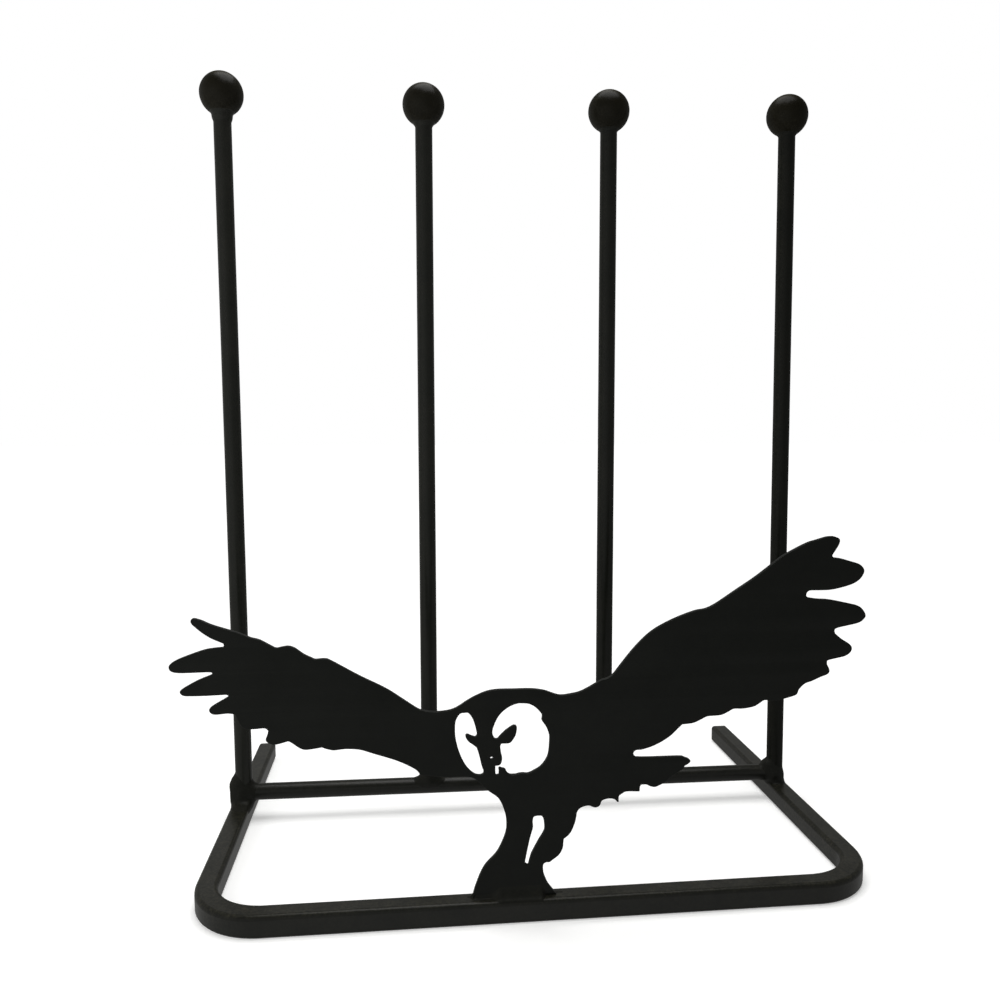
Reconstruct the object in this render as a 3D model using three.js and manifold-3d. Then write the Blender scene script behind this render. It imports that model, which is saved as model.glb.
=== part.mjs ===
// Boot rack of welded steel: a bent square bar lies on the floor, a round crossbar lies over its
// two legs, and four round rods with ball tops stand on the crossbar. A flat owl in flight, cut
// from plate, stands on the front of the base. Millimetres, +Z up, the owl faces -Y.
import * as THREE from "three";
import { mergeVertices } from "three/addons/utils/BufferGeometryUtils.js";
import Module from "manifold-3d";

const wasm = await Module();
wasm.setup();

// Base: one square bar bent to a U, open at the back
const BASE_WIDTH = 425;
const BASE_DEPTH = 282;
const BAR = 14;
const BEND_RADIUS = 44;
const BAR_EDGE_ROUND = 0.8;

// Crossbar over the base's two legs, and how far its left and its right end were set behind its
// setback by hand, as shares of its diameter
const CROSSBAR_DIAMETER = 12;
const CROSSBAR_SETBACK = 161;
const crossbarEndShiftShares = [0.1, -0.36];

// Rods that the boots are turned over on
const ROD_DIAMETER = 12;
const ROD_LENGTH = 480.4;

// Balls on the rods
const BALL_DIAMETER = 30;

// The rods were set by hand: how far each foot and each top stands to the right of an even
// spacing, as shares of the rod's diameter, and each rod's own share of the rod length
const rodFootShiftShares = [0.12, 0.2, -0.06, -0.04];
const rodTopShiftShares = [-0.12, 0.16, -0.07, -0.29];
const rodLengthShares = [1.0026, 0.996, 0.9954, 0.9973];

// Owl plate, with its outline in shares of the reach of one wing
const WING_REACH = 200;
const PLATE_THICKNESS = 3;
const NOSTRIL_RADIUS = 0.85;
// How far outside the drawn outline the plate was cut, and how finely its turns are cut
const CUT_MARGIN = 0.55;
const CUT_FACETS = 16;
const CUT_POINT_LIMIT = 2;
const CUT_TOLERANCE = 0.02;

// Weld at the foot of a rod
const FOOT_WELD_REACH = 4.6;
const FOOT_WELD_RISE = 8.5;
const FOOT_WELD_DROP = 7;
// The weld at the right-hand end lies on the inner side of its rod, by this share of the reach
const footWeldShiftShares = [0, 0, 0, -0.65];

// Weld under a ball
const NECK_WELD_REACH = 1.9;
const NECK_WELD_DROP = 9.5;
const NECK_WELD_CLIMB = 2;

// Weld bead between the crossbar and a leg of the base
const RAIL_WELD_HALF_LENGTH = 7.4;
const RAIL_WELD_HALF_DEPTH = 5;
const RAIL_WELD_RISE = 4.9;
const RAIL_WELD_SETBACK = 5.6;
const RAIL_WELD_ROOT = 3;

// Weld bead along the owl's foot
const OWL_WELD_HALF_LENGTH = 19;
const OWL_WELD_DEPTH = 4.6;
const OWL_WELD_RISE = 4.2;
const OWL_WELD_MIDDLE = -14.5;

// Room left round a piece that another one is cut by or rests on
const SEAT_GAP = 0.3;
// How far a cutting tool runs past what it cuts
const OVERRUN = 20;
// Ripples of hand-laid weld metal
const RIPPLE_SHARE = 0.12;
const RIPPLES_PER_TURN = 5;

const ROUND_FACETS = 28;
const WELD_FACETS = 20;
const CURVE_STEPS = 3;

const rodRadius = ROD_DIAMETER / 2;
const crossbarRadius = CROSSBAR_DIAMETER / 2;
const ballRadius = BALL_DIAMETER / 2;
const crossbarHeight = BAR + SEAT_GAP + crossbarRadius;
const rodFootHeight = crossbarHeight + crossbarRadius + SEAT_GAP;
const legMiddle = (BASE_WIDTH - BAR) / 2;
const plateFront = (BAR - PLATE_THICKNESS) / 2;
const [leftEndShift, rightEndShift] = crossbarEndShiftShares.map((share) => share * CROSSBAR_DIAMETER);
const crossbarTurn = Math.atan2(rightEndShift - leftEndShift, BASE_WIDTH);

const paint = new THREE.MeshStandardMaterial({ color: 0x1c1d1b, roughness: 0.5, metalness: 0.1 });
const weldPaint = new THREE.MeshStandardMaterial({ color: 0x1a1b1a, roughness: 0.38, metalness: 0.1 });

// The owl's outline runs clockwise as seen from the front, from the left of its foot. Each
// stretch is one smooth curve, and two stretches meet in a corner. Every pair is a place across
// from the rack's middle and a height over the base's top face, as shares of WING_REACH.
const owlOutlineShares = {
  leftLegShares: [
    [-0.2225, 0], [-0.2165, 0.03], [-0.19, 0.0925], [-0.15, 0.138], [-0.126, 0.19], [-0.1215, 0.225],
    [-0.1265, 0.26], [-0.145, 0.304], [-0.1775, 0.331], [-0.225, 0.3725], [-0.3, 0.3775], [-0.375, 0.3875],
  ],
  leftWingUndersideShares: [
    [-0.375, 0.3875], [-0.39, 0.405], [-0.44, 0.4315], [-0.511, 0.457], [-0.55, 0.47], [-0.59, 0.4735],
    [-0.62, 0.471], [-0.64, 0.475], [-0.655, 0.481],
  ],
  leftWingScallopsShares: [
    [-0.655, 0.481], [-0.695, 0.476], [-0.715, 0.48], [-0.745, 0.501], [-0.76, 0.5], [-0.784, 0.4945],
    [-0.8, 0.4975], [-0.8095, 0.506], [-0.805, 0.52], [-0.8025, 0.5305], [-0.8045, 0.537], [-0.815, 0.543],
    [-0.84, 0.542], [-0.8625, 0.543], [-0.8775, 0.5525], [-0.8925, 0.586],
  ],
  leftFeather4Shares: [
    [-0.8925, 0.586], [-0.915, 0.5895], [-0.945, 0.5875], [-0.9575, 0.59], [-0.963, 0.598],
    [-0.955, 0.607], [-0.912, 0.632], [-0.909, 0.638], [-0.915, 0.644],
  ],
  leftFeather3Shares: [
    [-0.915, 0.644], [-0.975, 0.6425], [-1.015, 0.643], [-1.0325, 0.6445], [-1.041, 0.6515],
    [-1.035, 0.659], [-0.995, 0.681], [-0.9575, 0.696], [-0.9515, 0.7035], [-0.955, 0.709],
  ],
  leftFeather2Shares: [
    [-0.955, 0.709], [-0.97, 0.71], [-1.01, 0.7095], [-1.045, 0.71], [-1.064, 0.7145], [-1.069, 0.724],
    [-1.0635, 0.733], [-1.037, 0.7465], [-0.9775, 0.767], [-0.945, 0.772], [-0.9225, 0.7745],
    [-0.918, 0.7825], [-0.92, 0.79],
  ],
  leftFeather1Shares: [
    [-0.92, 0.79], [-0.9525, 0.805], [-0.975, 0.82], [-0.995, 0.8375], [-1.005, 0.8485],
    [-1.005, 0.8565], [-0.998, 0.857], [-0.98, 0.851],
  ],
  leftWingTopShares: [
    [-0.98, 0.851], [-0.95, 0.837], [-0.885, 0.815], [-0.85, 0.8], [-0.825, 0.7925], [-0.8, 0.7785],
    [-0.78, 0.768], [-0.7625, 0.77], [-0.745, 0.772], [-0.7275, 0.766], [-0.705, 0.749], [-0.6835, 0.7375],
    [-0.67, 0.732], [-0.645, 0.733], [-0.626, 0.726], [-0.55, 0.6815], [-0.475, 0.6415],
    [-0.425, 0.6075], [-0.38, 0.5765],
  ],
  headShares: [
    [-0.38, 0.5765], [-0.35, 0.569], [-0.31, 0.5675], [-0.2725, 0.576], [-0.2235, 0.605], [-0.17, 0.625],
    [-0.1, 0.6265], [-0.05, 0.6255], [-0.015, 0.62], [0.01, 0.611], [0.035, 0.604], [0.065, 0.6065],
    [0.101, 0.615], [0.16, 0.646],
  ],
  rightWingTopShares: [
    [0.16, 0.646], [0.189, 0.6575], [0.22, 0.695], [0.262, 0.7455], [0.31, 0.789], [0.371, 0.8215],
    [0.435, 0.845], [0.47, 0.8515], [0.5015, 0.8655], [0.5625, 0.905], [0.6225, 0.944], [0.6815, 0.988],
    [0.7115, 1.009], [0.775, 1.041], [0.8105, 1.052], [0.84, 1.06], [0.86, 1.061],
  ],
  rightFeather1Shares: [
    [0.86, 1.061], [0.875, 1.054], [0.873, 1.04], [0.8625, 1.0225], [0.853, 1.006], [0.86, 0.997],
  ],
  rightFeather2Shares: [
    [0.86, 0.997], [0.885, 0.9935], [0.915, 0.985], [0.9415, 0.976], [0.955, 0.961], [0.9515, 0.9465],
    [0.94, 0.9325], [0.92, 0.921], [0.885, 0.911], [0.85, 0.905], [0.81, 0.9045], [0.7875, 0.904],
    [0.777, 0.896], [0.776, 0.8835], [0.787, 0.877],
  ],
  rightFeather3Shares: [
    [0.787, 0.877], [0.815, 0.8725], [0.855, 0.869], [0.92, 0.855], [0.947, 0.8465], [0.9635, 0.8255],
    [0.96, 0.8135], [0.941, 0.8015], [0.88, 0.789], [0.8675, 0.78], [0.87, 0.7675],
  ],
  rightFeather4Shares: [
    [0.87, 0.7675], [0.89, 0.751], [0.915, 0.735], [0.924, 0.7235], [0.92, 0.7115], [0.905, 0.7015],
    [0.88, 0.696], [0.8525, 0.69], [0.8465, 0.684], [0.8475, 0.6735],
  ],
  rightFeather5Shares: [
    [0.8475, 0.6735], [0.855, 0.6575], [0.8515, 0.6475], [0.83, 0.639], [0.801, 0.627], [0.7795, 0.6195],
    [0.7615, 0.6025], [0.756, 0.589], [0.745, 0.583], [0.705, 0.573], [0.68, 0.57],
  ],
  rightWingScallopsShares: [
    [0.68, 0.57], [0.66, 0.5735], [0.65, 0.5715], [0.635, 0.5615], [0.62, 0.5545], [0.59, 0.55],
    [0.56, 0.55], [0.5425, 0.5415], [0.52, 0.5325], [0.48, 0.53], [0.46, 0.5215], [0.4355, 0.5115],
    [0.402, 0.5085],
  ],
  rightWingRootShares: [
    [0.402, 0.5085], [0.3875, 0.495], [0.3675, 0.476], [0.3425, 0.4595], [0.3115, 0.445], [0.281, 0.4365],
    [0.2625, 0.435], [0.2535, 0.4275], [0.2535, 0.418], [0.2625, 0.407],
  ],
  tailShares: [
    [0.2625, 0.407], [0.3, 0.405], [0.395, 0.404], [0.4125, 0.4], [0.4275, 0.393], [0.42, 0.385],
    [0.41, 0.379], [0.4025, 0.369], [0.37, 0.349], [0.355, 0.335], [0.3275, 0.321], [0.3125, 0.321],
    [0.295, 0.3285], [0.28, 0.3285], [0.274, 0.321], [0.273, 0.308],
  ],
  tailScallop1Shares: [
    [0.273, 0.308], [0.235, 0.3095], [0.22, 0.303], [0.21, 0.2945], [0.2095, 0.278],
  ],
  tailScallop2Shares: [
    [0.2095, 0.278], [0.2, 0.287], [0.185, 0.2905], [0.1675, 0.288], [0.1575, 0.282], [0.154, 0.272],
    [0.1475, 0.266], [0.1375, 0.2655], [0.1225, 0.2715], [0.105, 0.2695], [0.09, 0.2615], [0.083, 0.25],
  ],
  rightLegShares: [
    [0.083, 0.25], [0.08, 0.23], [0.074, 0.21], [0.064, 0.189], [0.05, 0.176], [0.045, 0.1725],
    [0.043, 0.1615], [0.041, 0.1435], [0.031, 0.1245], [0.0145, 0.1115], [0.0035, 0.1035],
  ],
  rightFootShares: [
    [0.0035, 0.1035], [-0.009, 0.1025], [-0.017, 0.095], [-0.0175, 0.075], [-0.011, 0.0525],
    [0, 0.029], [0.0225, 0],
  ],
};

// Openings in the owl, in the same shares and each a closed run of stretches
const gapBetweenLegsShares = {
  wholeShares: [
    [-0.0475, 0.241], [-0.043, 0.246], [-0.031, 0.248], [-0.018, 0.246], [-0.0115, 0.234], [-0.0085, 0.2175],
    [-0.0095, 0.1955], [-0.026, 0.167], [-0.039, 0.143], [-0.0485, 0.124], [-0.0535, 0.1065],
    [-0.0585, 0.092], [-0.068, 0.0955], [-0.072, 0.105], [-0.0675, 0.13], [-0.0595, 0.1695], [-0.053, 0.1945], [-0.0485, 0.212],
    [-0.0495, 0.2295], [-0.0475, 0.241],
  ],
};
const leftFaceShares = {
  cheekShares: [
    [-0.2495, 0.567], [-0.235, 0.566], [-0.2225, 0.55], [-0.215, 0.53], [-0.2095, 0.5065], [-0.2085, 0.495],
    [-0.2155, 0.487],
  ],
  eyeShares: [
    [-0.2155, 0.487], [-0.2295, 0.492], [-0.239, 0.4965], [-0.2415, 0.4925], [-0.2335, 0.48],
    [-0.2215, 0.471], [-0.21, 0.4615],
  ],
  beakSideShares: [
    [-0.21, 0.4615], [-0.2025, 0.4375], [-0.195, 0.405], [-0.189, 0.387], [-0.1925, 0.376],
    [-0.205, 0.373], [-0.221, 0.378], [-0.24, 0.3955], [-0.255, 0.42], [-0.2675, 0.4525], [-0.275, 0.485],
    [-0.2775, 0.515], [-0.275, 0.5425], [-0.265, 0.561], [-0.2565, 0.5665], [-0.2495, 0.567],
  ],
};
const rightFaceShares = {
  browAndCheekShares: [
    [-0.0845, 0.59], [-0.0595, 0.5875], [-0.04, 0.5775], [-0.0235, 0.561], [-0.0165, 0.548], [-0.0175, 0.534],
  ],
  cheekShares: [
    [-0.0175, 0.534], [-0.0045, 0.514], [0.003, 0.4955], [0.006, 0.4775], [0.003, 0.435], [-0.005, 0.4125],
    [-0.02, 0.393], [-0.0375, 0.3815], [-0.0595, 0.372], [-0.08, 0.373], [-0.105, 0.3685], [-0.12, 0.3735],
    [-0.1265, 0.381],
  ],
  chinShares: [
    [-0.1265, 0.381], [-0.13, 0.388], [-0.138, 0.3905], [-0.145, 0.3925], [-0.144, 0.3845],
    [-0.146, 0.3725], [-0.158, 0.3725], [-0.16, 0.39], [-0.16, 0.405],
  ],
  beakSideShares: [
    [-0.16, 0.405], [-0.1445, 0.408], [-0.14, 0.425], [-0.1435, 0.4425], [-0.1455, 0.46], [-0.1435, 0.4665],
  ],
  eyeShares: [
    [-0.1435, 0.4665], [-0.14, 0.471], [-0.118, 0.4715], [-0.109, 0.479], [-0.1, 0.494], [-0.0965, 0.515],
    [-0.1, 0.5175], [-0.1045, 0.5175], [-0.124, 0.505], [-0.14, 0.49], [-0.149, 0.48],
  ],
  browShares: [
    [-0.149, 0.48], [-0.159, 0.4805], [-0.1655, 0.49], [-0.1685, 0.505], [-0.164, 0.524], [-0.1515, 0.55],
    [-0.1345, 0.569], [-0.1135, 0.5825], [-0.0945, 0.589], [-0.0845, 0.59],
  ],
};
const nostrilShares = [-0.1685, 0.426];

// Outlines of the welds, from the bottom up: each pair is a share of the weld's reach beyond the
// rod and a share of its height
const footWeldShares = [
  [0.42, 0], [0.85, 0.16], [1, 0.35], [0.86, 0.52], [0.5, 0.68], [0.26, 0.84], [0.16, 1],
];
const neckWeldShares = [
  [0.22, 0], [0.36, 0.3], [0.6, 0.58], [0.84, 0.8], [1, 1],
];

// Turns a closed geometry into a solid that can be joined and cut
function solidFrom(geometry) {
  const plain = geometry.clone();
  for (const name of ["normal", "uv", "uv1"]) {
    plain.deleteAttribute(name);
  }
  const merged = mergeVertices(plain);
  const corners = merged.index.array;
  const triVerts = [];
  for (let i = 0; i < corners.length; i += 3) {
    const [a, b, c] = corners.slice(i, i + 3);
    if (a !== b && b !== c && c !== a) {
      triVerts.push(a, b, c);
    }
  }
  const vertProperties = Float32Array.from(merged.attributes.position.array);
  const mesh = new wasm.Mesh({ numProp: 3, vertProperties, triVerts: Uint32Array.from(triVerts) });
  return new wasm.Manifold(mesh);
}

// Turns a solid back into a geometry with flat faces
function geometryFrom(solid) {
  const mesh = solid.getMesh();
  const geometry = new THREE.BufferGeometry();
  geometry.setAttribute("position", new THREE.BufferAttribute(mesh.vertProperties, 3));
  geometry.setIndex(new THREE.BufferAttribute(mesh.triVerts, 1));
  const faceted = geometry.toNonIndexed();
  faceted.computeVertexNormals();
  return faceted;
}

function namedMesh(name, geometry, material) {
  const mesh = new THREE.Mesh(geometry, material);
  mesh.name = name;
  return mesh;
}

// A round bar along Z from one height to another
function uprightBar(radius, bottom, top) {
  const bar = new THREE.CylinderGeometry(radius, radius, top - bottom, ROUND_FACETS);
  bar.rotateX(Math.PI / 2);
  bar.translate(0, 0, (bottom + top) / 2);
  return bar;
}

// How far the crossbar's middle line stands behind the base's front, at a place across the base
function crossbarSetback(across) {
  const share = across / BASE_WIDTH + 1 / 2;
  return CROSSBAR_SETBACK + leftEndShift + (rightEndShift - leftEndShift) * share;
}

// A round bar along the crossbar's middle line
function crossbarShaped(radius, length) {
  const bar = new THREE.CylinderGeometry(radius, radius, length, ROUND_FACETS);
  bar.rotateZ(Math.PI / 2 + crossbarTurn);
  bar.translate(0, crossbarSetback(0), crossbarHeight);
  return bar;
}

// A box between two corners
function boxBetween(low, high) {
  const size = high.clone().sub(low);
  const box = new THREE.BoxGeometry(size.x, size.y, size.z);
  const middle = low.clone().add(high).multiplyScalar(1 / 2);
  box.translate(middle.x, middle.y, middle.z);
  return box;
}

// The base lies flat: its outline is seen from above, with both front corners bent round
function baseRail() {
  const half = BASE_WIDTH / 2;
  const inner = half - BAR;
  const innerBend = BEND_RADIUS - BAR;
  const outline = new THREE.Shape();
  outline.moveTo(-half, BASE_DEPTH);
  outline.lineTo(-half, BEND_RADIUS);
  outline.absarc(-half + BEND_RADIUS, BEND_RADIUS, BEND_RADIUS, Math.PI, 1.5 * Math.PI, false);
  outline.absarc(half - BEND_RADIUS, BEND_RADIUS, BEND_RADIUS, -Math.PI / 2, 0, false);
  outline.lineTo(half, BASE_DEPTH);
  outline.lineTo(inner, BASE_DEPTH);
  outline.absarc(half - BEND_RADIUS, BEND_RADIUS, innerBend, 0, -Math.PI / 2, true);
  outline.absarc(-half + BEND_RADIUS, BEND_RADIUS, innerBend, 1.5 * Math.PI, Math.PI, true);
  outline.lineTo(-inner, BASE_DEPTH);
  const rail = new THREE.ExtrudeGeometry(outline, {
    depth: BAR - 2 * BAR_EDGE_ROUND,
    curveSegments: ROUND_FACETS / 2,
    bevelEnabled: true,
    bevelThickness: BAR_EDGE_ROUND,
    bevelSize: BAR_EDGE_ROUND,
    bevelOffset: -BAR_EDGE_ROUND,
    bevelSegments: 1,
  });
  rail.translate(0, 0, BAR_EDGE_ROUND);
  return namedMesh("base_rail", rail, paint);
}

function crossbar() {
  return namedMesh("crossbar", crossbarShaped(crossbarRadius, BASE_WIDTH), paint);
}

// Draws stretches of curve one after another, from shares of the wing's reach
function drawStretches(path, stretches) {
  const runs = Object.values(stretches);
  const [firstAcross, firstUp] = runs[0][0];
  path.moveTo(firstAcross * WING_REACH, firstUp * WING_REACH);
  for (const run of runs) {
    const points = run.slice(1).map(([across, up]) => new THREE.Vector2(across, up));
    path.splineThru(points.map((point) => point.multiplyScalar(WING_REACH)));
  }
  return path;
}

// The points of a closed run of stretches
function drawnLoop(stretches) {
  return drawStretches(new THREE.Path(), stretches).getPoints(CURVE_STEPS).map((point) => point.toArray());
}

// The owl stands upright in the middle of the front bar, its foot on the bar's top face
function owlPlate() {
  const loops = [owlOutlineShares, gapBetweenLegsShares, leftFaceShares, rightFaceShares].map(drawnLoop);
  const drawn = new wasm.CrossSection(loops, "EvenOdd");
  const reach = 2 * WING_REACH;
  const sheet = wasm.CrossSection.square([2 * reach, reach]).translate([-reach, 0]);
  const nostril = wasm.CrossSection.circle(NOSTRIL_RADIUS, CUT_FACETS);
  const [nostrilAcross, nostrilUp] = nostrilShares;
  const section = drawn
    .offset(CUT_MARGIN, "Round", CUT_POINT_LIMIT, CUT_FACETS)
    .intersect(sheet)
    .subtract(nostril.translate([nostrilAcross * WING_REACH, nostrilUp * WING_REACH]))
    .simplify(CUT_TOLERANCE);
  const plate = geometryFrom(section.extrude(PLATE_THICKNESS));
  plate.rotateX(Math.PI / 2);
  plate.translate(0, plateFront + PLATE_THICKNESS, BAR);
  return namedMesh("owl_plate", plate, paint);
}

// A weld collar round a rod, with hand-laid ripples, from a profile of (radius, height) points
function rippledCollar(profile) {
  const collar = new THREE.LatheGeometry(profile, WELD_FACETS);
  collar.rotateX(Math.PI / 2);
  const places = collar.attributes.position;
  for (let i = 0; i < places.count; i += 1) {
    const radius = Math.hypot(places.getX(i), places.getY(i));
    const turn = Math.atan2(places.getY(i), places.getX(i));
    const ripple = Math.max(radius - rodRadius, 0) * RIPPLE_SHARE * Math.sin(RIPPLES_PER_TURN * turn);
    const swell = radius > 0 ? 1 + ripple / radius : 1;
    places.setXY(i, places.getX(i) * swell, places.getY(i) * swell);
  }
  return collar;
}

// The collar's profile from the axis out, up its side and back to the axis
function collarProfile(shares, reach, bottom, top) {
  const side = shares.map(
    ([out, up]) => new THREE.Vector2(rodRadius + out * reach, bottom + up * (top - bottom)),
  );
  return [new THREE.Vector2(0, bottom), ...side, new THREE.Vector2(0, top)];
}

// Weld metal round a rod's foot, over the crossbar and down both its sides
function footWeld(number, across, shift) {
  const crown = crossbarHeight + crossbarRadius;
  const bottom = crown - FOOT_WELD_DROP;
  const profile = collarProfile(footWeldShares, FOOT_WELD_REACH, bottom, crown + FOOT_WELD_RISE);
  const collar = rippledCollar(profile);
  const setback = crossbarSetback(across);
  collar.translate(across + shift, setback, 0);
  const rodRoom = uprightBar(rodRadius + SEAT_GAP, crown, crown + FOOT_WELD_RISE + OVERRUN);
  rodRoom.translate(across, setback, 0);
  const barRoom = crossbarShaped(crossbarRadius + SEAT_GAP, BASE_WIDTH + 2 * SEAT_GAP);
  const weld = solidFrom(collar).subtract(solidFrom(rodRoom)).subtract(solidFrom(barRoom));
  return namedMesh(`foot_weld_${number}`, geometryFrom(weld), weldPaint);
}

// A ball whose lowest point is at the given height, its poles up and down
function ballShaped(radius, bottom) {
  const ball = new THREE.SphereGeometry(radius, ROUND_FACETS, ROUND_FACETS / 2);
  ball.rotateX(Math.PI / 2);
  ball.translate(0, 0, bottom + radius);
  return ball;
}

// Weld metal that closes the corner between a rod's top and its ball
function neckWeld(number, ballBottom) {
  const bottom = ballBottom - NECK_WELD_DROP;
  const profile = collarProfile(neckWeldShares, NECK_WELD_REACH, bottom, ballBottom + NECK_WELD_CLIMB);
  const rodRoom = uprightBar(rodRadius + SEAT_GAP, bottom - OVERRUN, ballBottom + ballRadius);
  const ballRoom = ballShaped(ballRadius + SEAT_GAP, ballBottom - SEAT_GAP);
  const weld = solidFrom(rippledCollar(profile)).subtract(solidFrom(rodRoom)).subtract(solidFrom(ballRoom));
  return namedMesh(`neck_weld_${number}`, geometryFrom(weld), weldPaint);
}

// A rod with its ball and the weld between them, standing on the crossbar at a slight lean
function standingRod(number, across, lean, length) {
  const ballBottom = length + SEAT_GAP;
  const standing = new THREE.Group();
  standing.add(namedMesh(`rod_${number}`, uprightBar(rodRadius, 0, length), paint));
  standing.add(namedMesh(`finial_${number}`, ballShaped(ballRadius, ballBottom), paint));
  standing.add(neckWeld(number, ballBottom));
  standing.position.set(across, crossbarSetback(across), rodFootHeight);
  standing.rotation.y = Math.atan2(lean, length);
  return standing;
}

// A long blob of weld metal with ripples along it
function rippledBead(halfLength, halfDepth, rise) {
  const bead = new THREE.SphereGeometry(1, WELD_FACETS, WELD_FACETS / 2);
  bead.rotateZ(Math.PI / 2);
  const places = bead.attributes.position;
  for (let i = 0; i < places.count; i += 1) {
    const along = places.getX(i);
    const swell = 1 + RIPPLE_SHARE * Math.sin(RIPPLES_PER_TURN * along);
    places.setXYZ(i, along * halfLength, places.getY(i) * swell * halfDepth, places.getZ(i) * swell * rise);
  }
  return bead;
}

// A bead on top of one leg of the base, before or behind the crossbar
function railWeld(name, across, side) {
  const setback = crossbarSetback(across);
  const middle = setback + side * RAIL_WELD_SETBACK;
  const bead = rippledBead(RAIL_WELD_HALF_LENGTH, RAIL_WELD_HALF_DEPTH, RAIL_WELD_RISE);
  bead.translate(across, middle, BAR);
  const root = setback + side * RAIL_WELD_ROOT;
  const edge = root + side * (OVERRUN + RAIL_WELD_HALF_DEPTH);
  const room = boxBetween(
    new THREE.Vector3(across - BAR / 2, Math.min(root, edge), BAR),
    new THREE.Vector3(across + BAR / 2, Math.max(root, edge), BAR + RAIL_WELD_RISE + OVERRUN),
  );
  const barRoom = crossbarShaped(crossbarRadius + SEAT_GAP, BASE_WIDTH + OVERRUN);
  const weld = solidFrom(bead).intersect(solidFrom(room)).subtract(solidFrom(barRoom));
  return namedMesh(name, geometryFrom(weld), weldPaint);
}

// A bead along the front of the owl's foot
function owlWeld() {
  const bead = rippledBead(OWL_WELD_HALF_LENGTH, OWL_WELD_DEPTH, OWL_WELD_RISE);
  bead.translate(OWL_WELD_MIDDLE, plateFront, BAR);
  const reach = OWL_WELD_HALF_LENGTH + OVERRUN;
  const room = boxBetween(
    new THREE.Vector3(OWL_WELD_MIDDLE - reach, plateFront - OWL_WELD_DEPTH - OVERRUN, BAR),
    new THREE.Vector3(OWL_WELD_MIDDLE + reach, plateFront, BAR + OWL_WELD_RISE + OVERRUN),
  );
  return namedMesh("owl_weld", geometryFrom(solidFrom(bead).intersect(solidFrom(room))), weldPaint);
}

const rack = new THREE.Group();
rack.add(baseRail(), crossbar(), owlPlate(), owlWeld());

for (const [hand, across] of [["left", -legMiddle], ["right", legMiddle]]) {
  for (const [place, side] of [["front", -1], ["back", 1]]) {
    rack.add(railWeld(`rail_weld_${hand}_${place}`, across, side));
  }
}

const rodPitch = 2 * legMiddle / (rodLengthShares.length - 1);
for (let i = 0; i < rodLengthShares.length; i += 1) {
  const foot = -legMiddle + i * rodPitch + rodFootShiftShares[i] * ROD_DIAMETER;
  const lean = (rodTopShiftShares[i] - rodFootShiftShares[i]) * ROD_DIAMETER;
  rack.add(standingRod(i + 1, foot, lean, rodLengthShares[i] * ROD_LENGTH));
  rack.add(footWeld(i + 1, foot, footWeldShiftShares[i] * FOOT_WELD_REACH));
}

// The origin is on the floor, in the middle of the rack's width and depth
const bounds = new THREE.Box3().setFromObject(rack);
rack.position.set(-(bounds.min.x + bounds.max.x) / 2, -(bounds.min.y + bounds.max.y) / 2, 0);

export default rack;
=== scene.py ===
import math

import bmesh
import bpy
import numpy as np
from mathutils import Matrix, Vector, noise


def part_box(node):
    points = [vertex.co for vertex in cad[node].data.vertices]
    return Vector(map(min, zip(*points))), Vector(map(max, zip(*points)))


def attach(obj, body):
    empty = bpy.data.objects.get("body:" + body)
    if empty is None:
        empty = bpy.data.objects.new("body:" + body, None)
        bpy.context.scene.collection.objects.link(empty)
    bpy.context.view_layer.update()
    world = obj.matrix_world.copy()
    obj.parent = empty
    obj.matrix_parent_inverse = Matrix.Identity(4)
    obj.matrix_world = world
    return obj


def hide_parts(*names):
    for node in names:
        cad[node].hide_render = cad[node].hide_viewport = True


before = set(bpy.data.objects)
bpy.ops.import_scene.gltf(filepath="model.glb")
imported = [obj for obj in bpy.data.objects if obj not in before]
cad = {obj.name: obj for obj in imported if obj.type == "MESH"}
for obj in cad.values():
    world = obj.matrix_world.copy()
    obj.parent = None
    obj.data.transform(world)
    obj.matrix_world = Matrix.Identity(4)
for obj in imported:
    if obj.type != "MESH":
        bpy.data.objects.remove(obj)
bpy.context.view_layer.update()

# Lengths are in metres unless a comment says otherwise
MM = 0.001

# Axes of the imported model's frame: +X is right, -Y is towards the owl's front and +Z is up
X, Y, Z = range(3)

# Camera that stands where the photograph was taken
CAMERA_PLACE = (-0.079367, -0.634690, 0.293544)
CAMERA_YAW = 0.1064
CAMERA_PITCH = 0.0853
CAMERA_ROLL = -0.0012
SENSOR_WIDTH = 36.0
LENS = 31.821
CAMERA_CLIP = (0.02, 60)

# Base: the square bar, its bends and its outline
BAR_CORNER = 2.5 * MM
BEND_RADIUS = 44 * MM
BEND_STEPS = 26
BEND_SWELL = 0.35 * MM
SWELL_BELOW_SHARE = 0.4
RAIL_STEP = 4 * MM
RAIL_UNEVEN = 0.05 * MM
RAIL_UNEVEN_SCALE = 30
CORNER_STEPS = 5
FACE_SHARES = (0.04, 0.2, 0.5, 0.8, 0.96)

# Broken edges of cut ends, with shares of the bevel
CUT_BEVEL = 0.5 * MM
RAIL_BEVEL_SHARE = 0.3
BEVEL_SHARES = (0, 0.4, 1, 2)
BEVEL_ROUNDING = 0.7
BEVEL_WEAR_SHARE = 1.5

# Round bars
NEARLY_ALONG = 0.1
ROUND_SEGMENTS = 56
BAR_STEP = 5 * MM
BAR_UNEVEN = 0.035 * MM
BAR_UNEVEN_SCALE = 45
ROD_SINK = 2.4 * MM
ROD_RISE = 1 * MM
CROSSBAR_PAST_ROD = 5.2 * MM

# Balls
BALL_DIVISIONS = 6
BALL_INSET = 0.04 * MM
BALL_UNEVEN = 0.07 * MM
BALL_UNEVEN_SCALE = 90
BALL_FINE_SHARE = 0.4
BALL_FINE_SCALE = 260

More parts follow.
